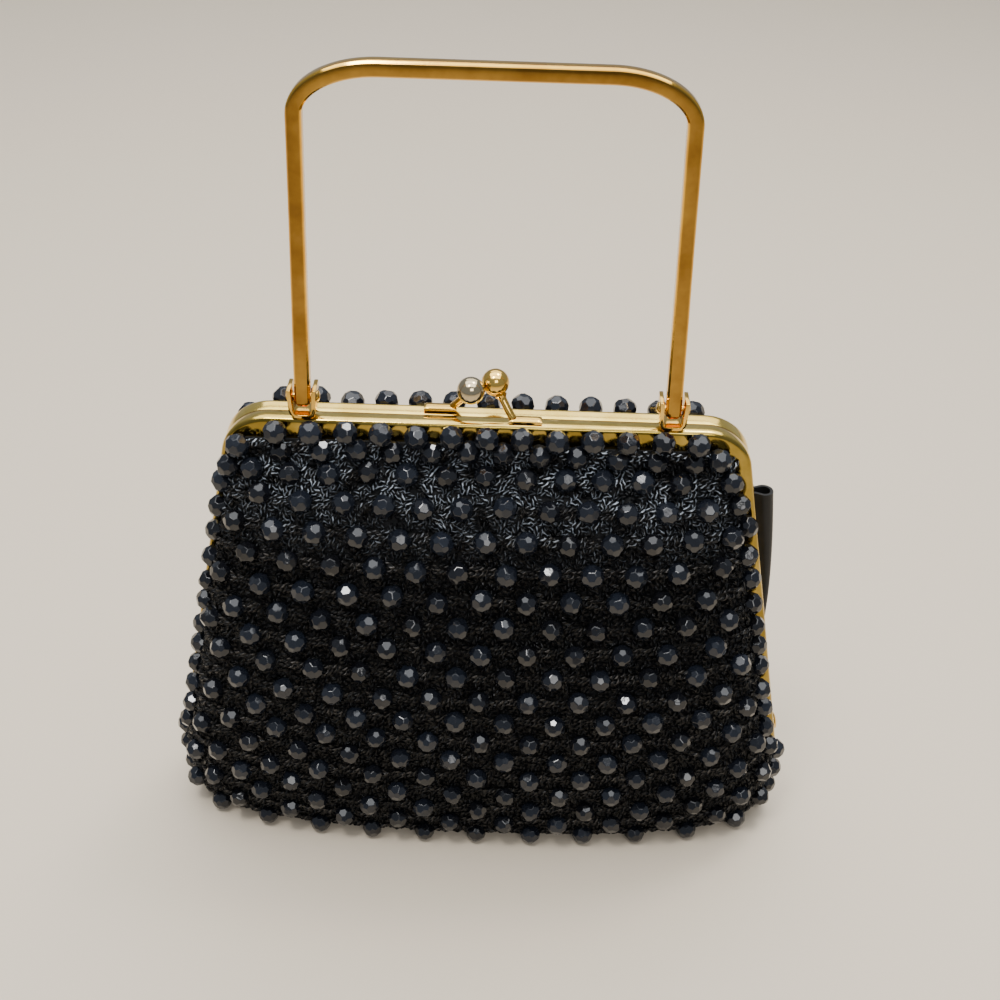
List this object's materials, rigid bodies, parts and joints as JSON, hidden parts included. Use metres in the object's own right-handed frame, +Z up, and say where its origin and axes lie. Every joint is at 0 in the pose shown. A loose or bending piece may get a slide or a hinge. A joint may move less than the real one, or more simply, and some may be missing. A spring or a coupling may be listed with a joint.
{
  "type": "beaded frame purse",
  "caption": "Black crochet purse covered with faceted beads, on a gold snap frame with a ball clasp and a stiff bail handle that swings in two posts.",
  "frame": {"origin": "on the ground under the middle of the purse", "axes": "+Z up, +X along the frame towards the outward-folded gusset, the front of the purse faces -Y"},
  "size_m": [0.2392, 0.0646, 0.3069],
  "materials": {
    "crochet": "black crochet yarn with a slight sheen",
    "frame_gold": "gold-coloured metal dulled by age",
    "gold": "polished gold-coloured metal with worn patches",
    "satin": "black satin",
    "beads": "glossy black with cut facets"
  },
  "bodies": {
    "purse": {"crochet_body": "crochet", "front_frame": "frame_gold", "back_frame": "frame_gold", "gusset_left": "satin", "gusset_right": "satin", "clasp_front": "gold", "clasp_back": "gold", "hinge_rivet_left": "gold", "hinge_rivet_right": "gold", "post_left": "gold", "post_right": "gold", "rivet_left": "gold", "rivet_right": "gold", "edge_bead_front_01": "beads", "edge_bead_front_02": "beads", "edge_bead_front_03": "beads", "edge_bead_front_04": "beads", "edge_bead_front_05": "beads", "edge_bead_front_06": "beads", "edge_bead_front_07": "beads", "edge_bead_front_08": "beads", "edge_bead_front_09": "beads", "edge_bead_front_10": "beads", "edge_bead_front_11": "beads", "edge_bead_front_12": "beads", "edge_bead_front_13": "beads", "edge_bead_back_01": "beads", "edge_bead_back_02": "beads", "edge_bead_back_03": "beads", "edge_bead_back_04": "beads", "edge_bead_back_05": "beads", "edge_bead_back_06": "beads", "edge_bead_back_07": "beads", "edge_bead_back_08": "beads", "edge_bead_back_09": "beads", "edge_bead_back_10": "beads", "edge_bead_back_11": "beads", "edge_bead_back_12": "beads", "edge_bead_back_13": "beads"},
    "bail": {"handle": "gold"}
  },
  "joints": [
    {"name": "handle_swing", "type": "hinge", "parent": "purse", "child": "bail", "pos_m": [0, -0.0024, 0.1956], "axis": [1, 0, 0], "range_deg": [-100, 100]}
  ]
}
